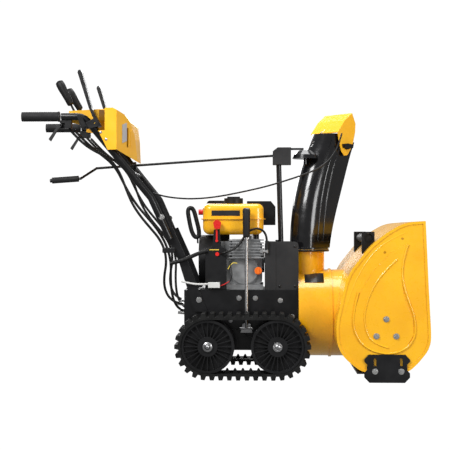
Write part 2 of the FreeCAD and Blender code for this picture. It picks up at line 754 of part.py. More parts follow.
def crank_rod():
    """Chute crank: rod with its worm at the front and an offset arm at the back."""
    way = (rod_end - rod_start).normalize()
    shaft_end = rod_start + way * 700
    rod_shape = rod(rod_radius, rod_start, shaft_end)
    worm = rod(9, rod_start + way * 668, rod_start + way * 694)
    elbow = Vector(-516, -76, 694)
    arm = rod(rod_radius, rod_start, elbow)
    stub = rod(rod_radius, elbow, Vector(-622, -76, 686.7))
    ball = Part.makeSphere(rod_radius + 0.4, rod_start)
    ball_low = Part.makeSphere(rod_radius + 0.4, elbow)
    nut = rod(7, Vector(-620, -76, 686.8), Vector(-626, -76, 686.4))
    return fuse([rod_shape, worm, arm, stub, ball, ball_low, nut])


def crank_grip():
    """Grip that turns on the crank's end."""
    start = Vector(-523, -76, 693.5)
    end = Vector(-618, -76, 686.95)
    return rod(11, start, end).cut(rod(rod_radius + running_gap, Vector(-500, -76, 695.1),
                                        Vector(-640, -76, 685.45)))


# Handles and controls

def handlebar_y(x):
    """Half distance between the handlebars at one place along them."""
    return handle_y if x < -470 else handle_y - (x + 470) * 0.243


def right_handlebar():
    """Bent handle tube on the right side."""
    points = [(x, -handlebar_y(x), z) for x, z in handle_points]
    return swept_tube("right_handlebar", points, handle_tube, 52)


def handlebars():
    """Both handle tubes."""
    bar = right_handlebar()
    return Part.makeCompound([bar, mirrored(bar)])


def grips():
    """Rubber grips on both handle ends."""
    shapes = []
    for side in (-1, 1):
        y = side * handle_y
        grip = rod(16.5, (-697.5, y, handle_z), (-566, y, handle_z))
        shapes.append(grip.cut(rod(handle_tube, (-561, y, handle_z), (-555, y, handle_z))))
    return Part.makeCompound(shapes)


def handle_brackets():
    """Flat brackets from the chassis to the tubes, the cross brace and the rod guide."""
    shapes = []
    for side in (-1, 1):
        low, high = sorted((side * 120, side * 128))
        leg = plate_y([(-104, 222), (-58, 222), (-128, 400), (-182, 520), (-212, 508), (-160, 400)],
                      low, high)
        bridge = rod(10, (-197, side * 122, 494), (-197, side * 150, 494))
        leg = leg.fuse(bridge)
        shapes.append(leg)
    brace_x = -330
    brace_z = 712
    half = handlebar_y(brace_x)
    brace = rod(8, (brace_x, -half, brace_z), (brace_x, half, brace_z))
    way = (rod_end - rod_start).normalize()
    eye = rod_start + way * ((brace_x - rod_start.x) / way.x)
    ring = rod(13, eye - way * 5, eye + way * 5)
    ring = ring.cut(rod(rod_radius + running_gap, rod_start, rod_end))
    stalk = block((brace_x - 4, brace_x + 4), (-4, 4), (brace_z, eye.z - 8))
    shapes.append(fuse([brace, ring, stalk]))
    for side in (-1, 1):
        y = side * handle_y
        low, high = sorted((y - side * 18, y + side * 3))
        bracket = block((-565, -525), (low, high), (862, 889.5))
        bracket = bracket.cut(block((-585, -548), (y - 9, y + 9), (850, 880)))
        arm_low, arm_high = sorted((side * 233, side * 238))
        lever_arm = plate_y([(-502, 904), (-488, 906), (-466, 862), (-474, 853), (-488, 860)],
                            arm_low, arm_high)
        lever_arm = lever_arm.cut(rod(5.05, (-477, y - 60, 866), (-477, y + 60, 866)))
        stub_bar = rod(6, (-495, side * 215, 898), (-495, side * 238, 898))
        shapes.append(bracket)
        shapes.append(lever_arm.fuse(stub_bar))
    tubes = handlebars()
    return Part.makeCompound([shape.cut(tubes) for shape in shapes])


def console():
    """Moulded console between the handles: narrow at the back, wide in front, open below."""
    back_half = 188
    front_half = 228
    wall = 3
    top = [(-538, 924), (-440, 930), (-379, 931), (-346, 913), (-332, 891), (-320, 834), (-314, 754)]
    under = [(-366, 787), (-397, 786), (-433, 859), (-470, 872), (-538, 884)]

    def plan(inset, back):
        half = [(back, -back_half + inset), (-436 + inset, -back_half + inset),
                (-436 + inset, -front_half + inset), (-366 - inset, -front_half + inset),
                (-334 - inset, -130), (-314 - inset, -50)]
        other = [(x, -y) for x, y in reversed(half)]
        return plate_z(half + other, 690, 960)

    body = plate_y(top + under, -front_half, front_half).common(plan(0, -538))
    inner_top = [(x - wall, z - wall) for x, z in top]
    hollow = plate_y([(-600, 921)] + inner_top + [(-317, 700), (-600, 700)], -front_half, front_half)
    shell = body.cut(hollow.common(plan(wall, -600)))
    for side in (-1, 1):
        low, high = sorted((side * back_half, side * (front_half + 5)))
        shell = shell.cut(block((-445, -407), (low, high), (853, 940)))
    shell = shell.cut(block((-345, -300), (-150, -134), (800, 868)))
    for x, y in ((-540, -40), (-522, 60)):
        shell = shell.cut(block((x - 22, x + 24), (y - 8, y + 8), (900, 940)))
    return shell


def clutch_lever():
    """Right clutch paddle: long flat lever on its pivot with a V strut."""
    y_low = -230
    paddle = plate_y([(-421, 869), (-433, 864), (-462, 930), (-501, 1052), (-499, 1060), (-492, 1062.5),
                      (-486, 1054), (-452, 930)], y_low, -194)
    strut = plate_y([(-484, 858), (-468, 860), (-436, 884), (-441, 896), (-480, 876)], y_low, -224)
    web = plate_y([(-484, 858), (-470, 857), (-420, 868), (-424, 878), (-470, 873)], y_low, -224)
    pin = rod(5, (-477, -243, 866), (-477, -224, 866))
    return fuse([paddle, strut, web, pin])


def trigger():
    """Right steering trigger under the grip."""
    y = -handle_y
    blade = plate_y([(-572, 858), (-560, 868), (-556, 876), (-564, 878), (-574, 868), (-604, 824),
                     (-597, 817)], y - 7, y + 7)
    return blade.cut(rod(2, (-562, y - 8, 872), (-562, y + 8, 872)))


def knob_lever(y, base_x, base_z, tip_x, tip_z):
    """Hand lever: rod with a tapered knob."""
    base = Vector(base_x, y, base_z)
    tip = Vector(tip_x, y, tip_z)
    way = (tip - base).normalize()
    foot = base - way * 70
    stem = rod(4, foot, base + way * 4)
    knob = Part.makeCone(11, 14.5, tip.distanceToPoint(base), base, way)
    foot_ball = rod(7, foot + Vector(0, -8, 0), foot + Vector(0, 8, 0))
    return fuse([stem, knob, foot_ball])


def throttle_lever():
    """Red knob of the throttle on its lever."""
    knob = plate_y([(-34, 514), (-14, 514), (-10, 536), (-20, 545), (-30, 545), (-38, 536)], -130, -118.5)
    stem = block((-29, -23), (-121, -118.5), (472, 516))
    pivot = rod(5, (-26, -122, 472), (-26, -118.5, 472))
    return fuse([knob, stem, pivot])


def fuel_cap():
    """Ribbed fuel cap with two prongs."""
    cap = tube(34, 24.3, (31, -30, 603.5), (31, -30, 610)).fuse(rod(34, (31, -30, 608.3), (31, -30, 624)))
    grip = block((8, 54), (-36, -24), (623, 630))
    return fuse([cap, grip])


def starter_handle():
    """D shaped pull handle with its short rope end."""
    outer = plate_y([(-132, 588), (-116, 590), (-106, 574), (-86, 500), (-90, 482), (-108, 478),
                     (-122, 496), (-140, 570)], -69, -51)
    inner = plate_y([(-126, 574), (-117, 574), (-99, 508), (-104, 500), (-112, 504)], -80, -40)
    stem = rod(4, (-97, -60, 486), (-97, -60, 462))
    return fuse([outer.cut(inner), stem])


def clean_out_tool():
    """Stick with a scoop for clearing the chute, stored across the housing."""
    stick = rod(15, (494, -255, 482), (494, 120, 482))
    scoop = block((483, 505), (120, 190), (475, 490))
    return fuse([stick, scoop])


def tool_clip():
    """Clip that holds the stick on the housing, in one piece with it."""
    clip = block((472, 514), (-262, -236), (430, 504)).fuse(block((472, 514), (60, 86), (430, 504)))
    clip = clip.cut(rod(15.3, (494, -300, 482), (494, 200, 482)))
    return clip.cut(housing_solid(0, 400))


# Cables

tilt_route = [
    (-250, -137, 640), (-221, -136, 631), (-191, -135, 625), (-153, -133, 621), (-114, -130, 619.5),
    (-62, -125, 622.5), (-10, -121, 629.5), (42, -118, 639.5), (100, -115, 652), (150, -112, 664),
    (198, -109, 678), (248, -104, 694), (296, -96, 711), (338, -82, 731), (371, -62, 757),
    (396, -42, 790), (412, -26, 826), (421, -16, 858),
]
cable_routes = {
    "right outer": [
        (-537, -192, 862), (-509, -190, 831), (-478, -187, 803), (-444, -184, 782), (-409, -180, 766),
        (-383, -176, 742), (-364, -172, 712), (-350, -167, 678), (-336, -160, 638), (-318, -152, 596),
        (-290, -143, 554), (-258, -138, 516), (-226, -135, 478), (-207, -133, 436), (-203, -130, 392),
        (-211, -124, 350), (-212, -116, 310), (-200, -108, 276), (-178, -101, 256), (-155, -96, 248),
        (-132, -93, 246),
    ],
    "right inner": [
        (-520, -184, 858), (-492, -180, 828), (-460, -176, 798), (-426, -172, 772), (-394, -168, 746),
        (-370, -163, 714), (-352, -157, 676), (-330, -148, 634), (-304, -139, 594), (-272, -131, 556),
        (-240, -126, 518), (-214, -122, 478), (-196, -118, 434), (-188, -112, 388), (-190, -106, 342),
        (-188, -98, 296), (-180, -90, 256), (-160, -84, 226), (-132, -80, 214),
    ],
}
lead_route = [
    (-9, -122, 426), (-8, -133, 427), (1, -140, 430), (18, -138, 435), (36, -131, 443), (53, -125, 458),
    (66, -123, 478), (80, -122.5, 500), (98, -122, 512), (118, -122, 516), (136, -122, 509),
    (146, -122, 496), (150, -122, 481), (151, -122, 466),
]


def ignition_lead():
    """Ignition lead with the boot on the spark plug."""
    lead = swept_tube("ignition_lead", lead_route, 4)
    boot = rod(6.5, (151, -124.4, 465.7), (151, -124.4, 441))
    return Part.makeCompound([lead, boot])


def control_cables():
    """Clutch and steering cables from the handles into the chassis, both sides."""
    shapes = []
    for name, route in cable_routes.items():
        cable = swept_tube(name, route, 4.5)
        shapes.append(cable)
        shapes.append(mirrored(cable))
    return Part.makeCompound(shapes)


# All nodes

def main():
    os.makedirs("parts", exist_ok=True)
    right_plate = side_plate()
    cables = control_cables()
    case = crankcase()
    bars = handlebars()
    shapes = {
        "chassis_frame": chassis_frame().cut(cables),
        "housing_shell": housing_shell(),
        "right_side_plate": right_plate,
        "left_side_plate": mirrored(right_plate),
        "impeller_barrel": impeller_barrel(),
        "skid_shoes": Part.makeCompound([skid_shoe(), mirrored(skid_shoe())]),
        "scraper_blade": block((452, 512), (-296, 296), (28, 33.7)),
        "bolts": all_bolts().cut(bars),
        "auger_bearings": auger_bearings(),
        "auger_gearbox": auger_gearbox(),
        "belt_cover": belt_cover(),
        "crankcase": case,
        "cylinder_head": cylinder_head().cut(case),
        "fuel_tank": fuel_tank(),
        "muffler": muffler(),
        "air_box": air_box(),
        "recoil_cover": recoil_cover().cut(case),
        "control_panel": control_panel(),
        "handlebars": bars,
        "handle_brackets": handle_brackets().cut(cables),
        "grips": grips(),
        "console": console(),
        "chute_post": chute_post(),
        "gear_head": gear_head(),
        "tilt_cable": swept_tube("tilt_cable", tilt_route, 3),
        "cables": Part.makeCompound([cables, ignition_lead()]),
        "tool_clips": tool_clip(),
        "drive_belts": drive_belts(),
        "track_frame": track_frame(),
        "right_track": right_track(),
        "left_track": mirrored(right_track()),
        "drive_axle": drive_axle(),
        "drive_wheels": drive_wheels(),
        "idler_wheels": idler_wheels(),
        "chute_body": chute_body(),
        "deflector": deflector(),
        "deflector_knobs": deflector_knob(),
        "deflector_spring": deflector_spring(),
        "crank_rod": crank_rod(),
        "crank_grip": crank_grip(),
        "crankshaft": crankshaft(),
        "impeller": impeller(),
        "impeller_shaft": impeller_shaft(),
        "auger": auger(),
        "drive_disc": drive_disc(),
        "hex_shaft": hex_shaft(),
        "right_clutch_lever": clutch_lever(),
        "left_clutch_lever": mirrored(clutch_lever()),
        "right_trigger": trigger(),
        "left_trigger": mirrored(trigger()),
        "shift_lever": knob_lever(-40, -559, 966, -600, 1044),
        "tilt_lever": knob_lever(60, -542, 960, -584, 1028),
        "height_lever": height_lever(),
        "throttle_lever": throttle_lever(),
        "choke_knob": rod(11, (-104, 112, 577), (-76, 112, 577)).fuse(rod(6, (-80, 112, 577), (-72.3, 112, 577))),
        "start_button": rod(7, (-24, -127, 425), (-24, -112, 425)),
        "oil_cap": rod(13, (120, -100.3, 366), (120, -116, 366)).fuse(block((117, 123), (-121, -115), (356, 376))),
        "fuel_cap": fuel_cap(),
        "starter_handle": starter_handle(),
        "clean_out_tool": clean_out_tool(),
    }
    print(len(shapes), "nodes")
    for name, shape in shapes.items():
        save(name, shape)


main()
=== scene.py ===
import json
import math
import bpy
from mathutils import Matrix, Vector


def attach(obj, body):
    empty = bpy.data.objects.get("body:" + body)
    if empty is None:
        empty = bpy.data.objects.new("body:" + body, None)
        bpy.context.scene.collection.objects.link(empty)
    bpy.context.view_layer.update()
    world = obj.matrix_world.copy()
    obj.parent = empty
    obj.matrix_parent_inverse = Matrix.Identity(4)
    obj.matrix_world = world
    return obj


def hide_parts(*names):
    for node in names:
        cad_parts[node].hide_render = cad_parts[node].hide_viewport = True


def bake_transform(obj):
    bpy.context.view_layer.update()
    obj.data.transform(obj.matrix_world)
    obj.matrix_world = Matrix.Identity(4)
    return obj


# Looks of the two stage snowblower, in metres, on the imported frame.
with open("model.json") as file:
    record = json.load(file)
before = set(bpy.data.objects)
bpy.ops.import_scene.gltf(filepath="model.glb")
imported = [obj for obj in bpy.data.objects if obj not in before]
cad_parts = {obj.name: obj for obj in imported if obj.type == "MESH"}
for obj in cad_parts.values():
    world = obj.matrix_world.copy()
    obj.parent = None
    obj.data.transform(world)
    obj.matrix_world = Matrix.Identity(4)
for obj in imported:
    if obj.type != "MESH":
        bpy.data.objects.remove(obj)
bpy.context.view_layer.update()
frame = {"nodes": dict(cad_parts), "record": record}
nodes = frame["nodes"]

# Places on the frame that several pieces share
chute_axis_x = 0.290
chute_yaw = math.radians(42)
idler_wheel_x = -0.051
drive_wheel_x = 0.187
wheel_z = 0.113
track_centre_y = 0.213
impeller_z = 0.212
grip_y = 0.210
grip_z = 0.902
sides = ((-1, "right"), (1, "left"))


# Camera and light

def make_camera():
    """Long lens on the right side, level with the engine."""
    data = bpy.data.cameras.new("camera")
    data.lens = 87.0
    data.clip_end = 20.0
    camera = bpy.data.objects.new("camera", data)
    camera.location = (0.1437, -3.95, 0.510)
    camera.rotation_euler = (math.radians(90.26), 0.0, math.radians(2.1))
    bpy.context.scene.collection.objects.link(camera)
    bpy.context.scene.camera = camera


def make_area_light(name, place, target, size, power):
    """Soft box aimed at a point."""
    data = bpy.data.lights.new(name, "AREA")
    data.size = size
    data.energy = power
    light = bpy.data.objects.new(name, data)
    light.location = place
    light.rotation_euler = (Vector(target) - Vector(place)).to_track_quat("-Z", "Y").to_euler()
    bpy.context.scene.collection.objects.link(light)


def make_lights():
    """White studio: a white backdrop to the camera and dimmer light to the object."""
    middle = (0.0, 0.0, 0.5)
    make_area_light("key", (-1.6, -2.6, 2.6), middle, 1.4, 120)
    make_area_light("top", (0.2, 0.2, 3.2), middle, 2.0, 80)
    make_area_light("fill", (2.4, -2.4, 0.9), middle, 1.2, 46)
    make_area_light("back", (-1.0, 2.8, 1.8), middle, 1.8, 60)
    world = bpy.data.worlds.new("studio")
    world.use_nodes = True
    tree = world.node_tree
    background = tree.nodes["Background"]
    background.inputs["Color"].default_value = (1, 1, 1, 1)
    background.inputs["Strength"].default_value = 0.30
    seen = tree.nodes.new("ShaderNodeBackground")
    seen.inputs["Color"].default_value = (1, 1, 1, 1)
    seen.inputs["Strength"].default_value = 1.05
    path = tree.nodes.new("ShaderNodeLightPath")
    mix = tree.nodes.new("ShaderNodeMixShader")
    tree.links.new(path.outputs["Is Camera Ray"], mix.inputs[0])
    tree.links.new(background.outputs[0], mix.inputs[1])
    tree.links.new(seen.outputs[0], mix.inputs[2])
    tree.links.new(mix.outputs[0], tree.nodes["World Output"].inputs["Surface"])
    bpy.context.scene.world = world
    bpy.context.scene.view_settings.view_transform = "Standard"


# Materials

def ramp_between(tree, factor, low, high):
    """Colour that goes from low to high over the middle of a factor's range."""
    ramp = tree.nodes.new("ShaderNodeValToRGB")
    ramp.color_ramp.elements[0].position = 0.35
    ramp.color_ramp.elements[1].position = 0.65
    ramp.color_ramp.elements[0].color = (*low, 1)
    ramp.color_ramp.elements[1].color = (*high, 1)
    tree.links.new(factor, ramp.inputs["Fac"])
    return ramp.outputs["Color"]


def noise_of(tree, scale, detail=4.0):
    """Noise in the object's own coordinates."""
    place = tree.nodes.new("ShaderNodeTexCoord")
    noise = tree.nodes.new("ShaderNodeTexNoise")
    noise.inputs["Scale"].default_value = scale
    noise.inputs["Detail"].default_value = detail
    tree.links.new(place.outputs["Object"], noise.inputs["Vector"])
    return noise.outputs["Fac"]


def surface(name, low, high, rough, grain, depth, metal=0.0, coat=0.0, blotch=9.0, edge=0.0007,
            shine=0.5):
    """Material with colour variation, worn roughness, fine grain and softened edges."""
    material = bpy.data.materials.new(name)
    material.use_nodes = True
    tree = material.node_tree
    shader = tree.nodes["Principled BSDF"]
    blotches = noise_of(tree, blotch)
    tree.links.new(ramp_between(tree, blotches, low, high), shader.inputs["Base Color"])
    rough_low = (rough[0],) * 3
    rough_high = (rough[1],) * 3
    scuffs = noise_of(tree, blotch * 6, 6.0)
    tree.links.new(ramp_between(tree, scuffs, rough_low, rough_high), shader.inputs["Roughness"])
    shader.inputs["Metallic"].default_value = metal
    shader.inputs["Specular IOR Level"].default_value = shine
    shader.inputs["Coat Weight"].default_value = coat
    shader.inputs["Coat Roughness"].default_value = 0.08
    bevel = tree.nodes.new("ShaderNodeBevel")
    bevel.samples = 4
    bevel.inputs["Radius"].default_value = edge
    bump = tree.nodes.new("ShaderNodeBump")
    bump.inputs["Strength"].default_value = depth
    bump.inputs["Distance"].default_value = 0.0004
    tree.links.new(noise_of(tree, grain, 2.0), bump.inputs["Height"])
    tree.links.new(bevel.outputs["Normal"], bump.inputs["Normal"])
    tree.links.new(bump.outputs["Normal"], shader.inputs["Normal"])
    return material


def make_materials():
    """Every finish on the machine."""
    return {
        "yellow_paint": surface("yellow_paint", (0.88, 0.42, 0.004), (0.95, 0.49, 0.008),
                                (0.24, 0.34), 900, 0.05, coat=0.5),
        "yellow_plastic": surface("yellow_plastic", (0.93, 0.46, 0.010), (0.97, 0.52, 0.016),
                                  (0.28, 0.38), 1400, 0.06, coat=0.2),
        "black_paint": surface("black_paint", (0.004, 0.004, 0.0045), (0.008, 0.008, 0.009),
                               (0.28, 0.40), 1100, 0.10, coat=0.10, shine=0.35),
        "gloss_black": surface("gloss_black", (0.003, 0.003, 0.0035), (0.005, 0.005, 0.006),
                               (0.16, 0.24), 500, 0.03, coat=0.4, shine=0.4),
        "black_plastic": surface("black_plastic", (0.005, 0.005, 0.0055), (0.009, 0.009, 0.010),
                                 (0.42, 0.56), 1800, 0.22, shine=0.25),
        "dark_plastic": surface("dark_plastic", (0.018, 0.018, 0.019), (0.028, 0.028, 0.029),
                                (0.40, 0.52), 1900, 0.22, shine=0.3),
        "grip_rubber": surface("grip_rubber", (0.009, 0.009, 0.0095), (0.016, 0.016, 0.017),
                               (0.55, 0.70), 2200, 0.30, shine=0.25),
        "track_rubber": surface("track_rubber", (0.004, 0.004, 0.004), (0.012, 0.012, 0.0118),
                                (0.62, 0.82), 1300, 0.35, blotch=30.0, shine=0.2),
        "cable_black": surface("cable_black", (0.004, 0.004, 0.004), (0.008, 0.008, 0.008),
                               (0.34, 0.48), 1200, 0.10, shine=0.3),
        "zinc": surface("zinc", (0.50, 0.50, 0.50), (0.68, 0.68, 0.67), (0.24, 0.40), 1500, 0.12,
                        metal=1.0, blotch=60.0),
        "steel": surface("steel", (0.36, 0.36, 0.37), (0.50, 0.50, 0.50), (0.26, 0.42), 1600, 0.12,
                         metal=1.0, blotch=40.0),
        "aluminium": surface("aluminium", (0.26, 0.265, 0.27), (0.40, 0.405, 0.41), (0.42, 0.60), 700,
                             0.40, metal=0.85, blotch=24.0),
        "cast_grey": surface("cast_grey", (0.06, 0.06, 0.062), (0.11, 0.11, 0.112), (0.50, 0.68), 500,
                             0.55, metal=0.4, blotch=20.0),
        "red_plastic": surface("red_plastic", (0.62, 0.010, 0.008), (0.74, 0.016, 0.012),
                               (0.26, 0.36), 1500, 0.08, coat=0.3),
        "orange_plastic": surface("orange_plastic", (0.84, 0.14, 0.004), (0.93, 0.19, 0.008),
                                  (0.28, 0.40), 1500, 0.08, coat=0.3),
        "decal_black": surface("decal_black", (0.012, 0.012, 0.013), (0.022, 0.022, 0.023),
                               (0.30, 0.40), 2500, 0.03),
        "decal_grey": surface("decal_grey", (0.42, 0.42, 0.43), (0.50, 0.50, 0.51), (0.34, 0.46), 2500,
                              0.04),
        "wire_red": surface("wire_red", (0.55, 0.01, 0.01), (0.65, 0.02, 0.02), (0.4, 0.5), 1500, 0.06),
        "wire_yellow": surface("wire_yellow", (0.75, 0.55, 0.05), (0.82, 0.62, 0.08), (0.4, 0.5), 1500,
                               0.06),
        "connector_white": surface("connector_white", (0.62, 0.62, 0.60), (0.72, 0.72, 0.70),
                                   (0.38, 0.50), 1500, 0.06),
    }


materials = make_materials()


def paint(piece, name):
    """Give a piece one finish."""
    piece.data.materials.clear()
    piece.data.materials.append(materials[name])


def finish_cad_nodes():
    """Give every CAD node the finish of its record slot."""
    slots = {row["node"]: row["material_slot"] for row in frame["record"]["subparts"]}
    for name, piece in nodes.items():
        finish = materials[slots[name]]
        for slot in piece.material_slots:
            slot.material = finish
        if not piece.material_slots:
            piece.data.materials.append(finish)


# Pieces made in Blender

def add_mesh(name, verts, faces, finish, body, smooth=True):
    """Mesh piece that rides on a body."""
    mesh = bpy.data.meshes.new(name)
    mesh.from_pydata(verts, [], faces)
    mesh.update()
    piece = bpy.data.objects.new(name, mesh)
    bpy.context.scene.collection.objects.link(piece)
    paint(piece, finish)
    for polygon in mesh.polygons:
        polygon.use_smooth = smooth
    if body:
        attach(piece, body)
    return piece


def soft_block(name, low, high, finish, body, radius):
    """Box with rounded edges."""
    verts = [(x, y, z) for x in (low[0], high[0]) for y in (low[1], high[1]) for z in (low[2], high[2])]
    faces = [(0, 1, 3, 2), (4, 6, 7, 5), (0, 4, 5, 1), (2, 3, 7, 6), (0, 2, 6, 4), (1, 5, 7, 3)]
    piece = add_mesh(name, verts, faces, finish, body, smooth=False)
    bevel = piece.modifiers.new("round", "BEVEL")
    bevel.width = radius
    bevel.segments = 3
    return piece


def turned(point):
    """A point drawn along +X, turned about the chute axis to the rest direction."""
    x = point[0] - chute_axis_x
    y = point[1]
    return (
        chute_axis_x + x * math.cos(chute_yaw) - y * math.sin(chute_yaw),
        x * math.sin(chute_yaw) + y * math.cos(chute_yaw),
        point[2],
    )


def curve_piece(name, route, radius, finish, body):
    """Round bar along a smooth spline with the route's points as its control points."""
    data = bpy.data.curves.new(name, "CURVE")
    data.dimensions = "3D"
    data.resolution_u = 8
    data.bevel_depth = radius
    data.bevel_resolution = 4
    data.use_fill_caps = True
    spline = data.splines.new("NURBS")
    spline.points.add(len(route) - 1)
    for point, place in zip(spline.points, route):
        point.co = (*place, 1.0)
    spline.order_u = 3
    spline.use_endpoint_u = True
    piece = bpy.data.objects.new(name, data)
    bpy.context.scene.collection.objects.link(piece)
    data.materials.append(materials[finish])
    if body:
        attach(piece, body)
    return piece


def as_mesh(piece):
    """Mesh object with the shape of a curve object, in its place."""
    graph = bpy.context.evaluated_depsgraph_get()
    mesh = bpy.data.meshes.new_from_object(piece.evaluated_get(graph))
    made = bpy.data.objects.new(piece.name + "_mesh", mesh)
    bpy.context.scene.collection.objects.link(made)
    made.data.materials.clear()
    made.data.materials.append(piece.data.materials[0])
    bpy.data.objects.remove(piece)
    return made


def metres(route):
    """Route points in metres."""
    return [(x / 1000, y / 1000, z / 1000) for x, y, z in route]


tilt_route = metres([
    (-250, -137, 640), (-221, -136, 631), (-191, -135, 625), (-153, -133, 621), (-114, -130, 619.5),
    (-62, -125, 622.5), (-10, -121, 629.5), (42, -118, 639.5), (100, -115, 652), (150, -112, 664),
    (198, -109, 678), (248, -104, 694), (296, -96, 711), (338, -82, 731), (371, -62, 757),
    (396, -42, 790), (412, -26, 826), (421, -16, 858),
])
control_routes = {
    "outer": metres([
        (-537, -192, 862), (-509, -190, 831), (-478, -187, 803), (-444, -184, 782), (-409, -180, 766),
        (-383, -176, 742), (-364, -172, 712), (-350, -167, 678), (-336, -160, 638), (-318, -152, 596),
        (-290, -143, 554), (-258, -138, 516), (-226, -135, 478), (-207, -133, 436), (-203, -130, 392),
        (-211, -124, 350), (-212, -116, 310), (-200, -108, 276), (-178, -101, 256), (-155, -96, 248),
        (-132, -93, 246),
    ]),
    "inner": metres([
        (-520, -184, 858), (-492, -180, 828), (-460, -176, 798), (-426, -172, 772), (-394, -168, 746),
        (-370, -163, 714), (-352, -157, 676), (-330, -148, 634), (-304, -139, 594), (-272, -131, 556),
        (-240, -126, 518), (-214, -122, 478), (-196, -118, 434), (-188, -112, 388), (-190, -106, 342),
        (-188, -98, 296), (-180, -90, 256), (-160, -84, 226), (-132, -80, 214),
    ]),
}
lead_route = metres([
    (-9, -122, 426), (-8, -133, 427), (1, -140, 430), (18, -138, 435), (36, -131, 443), (53, -125, 458),
    (66, -123, 478), (80, -122.5, 500), (98, -122, 512), (118, -122, 516), (136, -122, 509),
    (146, -122, 496), (150, -122, 481), (151, -122, 466),
])


def make_cables():
    """Tilt cable, control cables on both sides and the ignition lead with its boot."""
    tilt = as_mesh(curve_piece("tilt_cable_jacket", tilt_route, 0.003, "cable_black", None))
    tilt.name = "tilt_cable_jacket"
    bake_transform(tilt)
    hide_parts("tilt_cable")
    for label, route in control_routes.items():
        for side, sign in (("right", 1), ("left", -1)):
            points = [(x, y * sign, z) for x, y, z in route]
            curve_piece(f"{side}_{label}_cable", points, 0.0045, "cable_black", "chassis")
            x, y, z = points[-1]
            gland = [(x, y, z), (x - 0.012, y, z + 0.001), (x - 0.034, y - 0.001 * sign, z + 0.003)]
            curve_piece(f"{side}_{label}_gland", gland, 0.0062, "zinc", "chassis")
    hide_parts("cables")
    curve_piece("ignition_lead_jacket", lead_route, 0.004, "cable_black", "chassis")
    boot = [(0.151, -0.1235, 0.472), (0.151, -0.124, 0.456), (0.151, -0.1245, 0.440)]
    curve_piece("spark_plug_boot", boot, 0.0068, "grip_rubber", "chassis")


def make_spring():
    """Coiled tension spring behind the deflector."""
    low = Vector(turned((0.316, 0.0, 0.812)))
    high = Vector(turned((0.390, 0.0, 0.880)))
    way = (high - low).normalized()
    side = way.cross(Vector((0, 0, 1))).normalized()
    other = way.cross(side)
    turns = 16
    points_per_turn = 8
    coil_radius = 0.0045
    count = turns * points_per_turn
    points = []
    for k in range(count + 1):
        angle = 2 * math.pi * k / points_per_turn
        centre = low.lerp(high, 0.16 + 0.68 * k / count)
        points.append(centre + side * coil_radius * math.cos(angle) + other * coil_radius * math.sin(angle))
    points = [low] + points + [high]
    spring = as_mesh(curve_piece("deflector_spring_coil", points, 0.0009, "zinc", None))
    spring.name = "deflector_spring_coil"
    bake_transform(spring)
    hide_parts("deflector_spring")


def make_chute_creases():
    """Two long pressed beads up each side of the chute."""
    steps = 12
    for side, name in sides:
        for k, offset in enumerate((0.004, 0.030)):
            points = []
            for step in range(steps + 1):
                z = 0.470 + 0.340 * step / steps
                lean = 0.003 + 0.078 * ((z - 0.448) / 0.345) ** 2
                points.append(turned((chute_axis_x + lean + offset, side * 0.0575, z)))
            bead = curve_piece(f"{name}_chute_crease_{k + 1}", points, 0.0032, "gloss_black", "chute")
            bead.data.use_fill_caps = True


def make_decals():
    """Plain blank labels where the machine carries its markings."""
    soft_block("tank_label", (-0.045, -0.1062, 0.560), (0.055, -0.1048, 0.579), "decal_black", "chassis",
               0.0004)
    soft_block("panel_stripe", (-0.052, -0.1232, 0.4385), (-0.018, -0.1218, 0.4415), "wire_yellow",
               "chassis", 0.0004)
    console_panel("console_label", -0.186, -0.152, (0.822, 0.886), "decal_grey")
    console_panel("console_slot", -0.122, -0.106, (0.812, 0.868), "yellow_plastic")
    barrel_label()


def console_panel(name, y_near, y_far, heights, finish):
    """Thin plate that lies on the console's slanted front."""
    bend_y = -0.130
    corners = []
    for y, shift in ((y_near, -0.010), (y_far, 0.0)):
        if y < bend_y:
            slope_x = -0.366 + (0.228 + y) * 0.032 / 0.098
        else:
            slope_x = -0.334 + (y - bend_y) * 0.25
        for z in heights:
            corners.append((slope_x, y, z + shift))
    verts = [(x + out, y, z) for out in (0.0002, 0.0014) for x, y, z in corners]
    faces = [(0, 2, 3, 1), (4, 5, 7, 6), (0, 1, 5, 4), (2, 6, 7, 3), (0, 4, 6, 2), (1, 3, 7, 5)]
    add_mesh(name, verts, faces, finish, "chassis", smooth=False)


def barrel_label():
    """Blank label wrapped on the impeller barrel."""
    verts = []
    faces = []
    columns = 12
    radius = 0.1556
    for k in range(columns + 1):
        angle = math.radians(112 + 22 * k / columns)
        for x in (0.284, 0.352):
            verts.append((x, radius * math.cos(angle), impeller_z + radius * math.sin(angle)))
    for k in range(columns):
        faces.append((2 * k, 2 * k + 1, 2 * k + 3, 2 * k + 2))
    piece = add_mesh("barrel_label", verts, faces, "decal_black", "chassis")
    solid = piece.modifiers.new("thickness", "SOLIDIFY")
    solid.thickness = 0.0006
    solid.offset = 1.0


def lathe(name, profile, origin, axis, finish, body, steps=48):
    """Turned piece: (radius, distance along the axis) points turned about an axis."""
    way = Vector(axis).normalized()
    side = way.orthogonal().normalized()
    other = way.cross(side)
    verts = []
    faces = []
    count = len(profile)
    for k in range(steps):
        angle = 2 * math.pi * k / steps
        spoke = side * math.cos(angle) + other * math.sin(angle)
        for radius, along in profile:
            verts.append(tuple(Vector(origin) + way * along + spoke * radius))
    for k in range(steps):
        for m in range(count - 1):
            a = k * count + m
            b = ((k + 1) % steps) * count + m
            faces.append((a, b, b + 1, a + 1))
    piece = add_mesh(name, verts, faces, finish, body)
    weld = piece.modifiers.new("weld", "WELD")
    weld.merge_threshold = 0.00001
    return piece


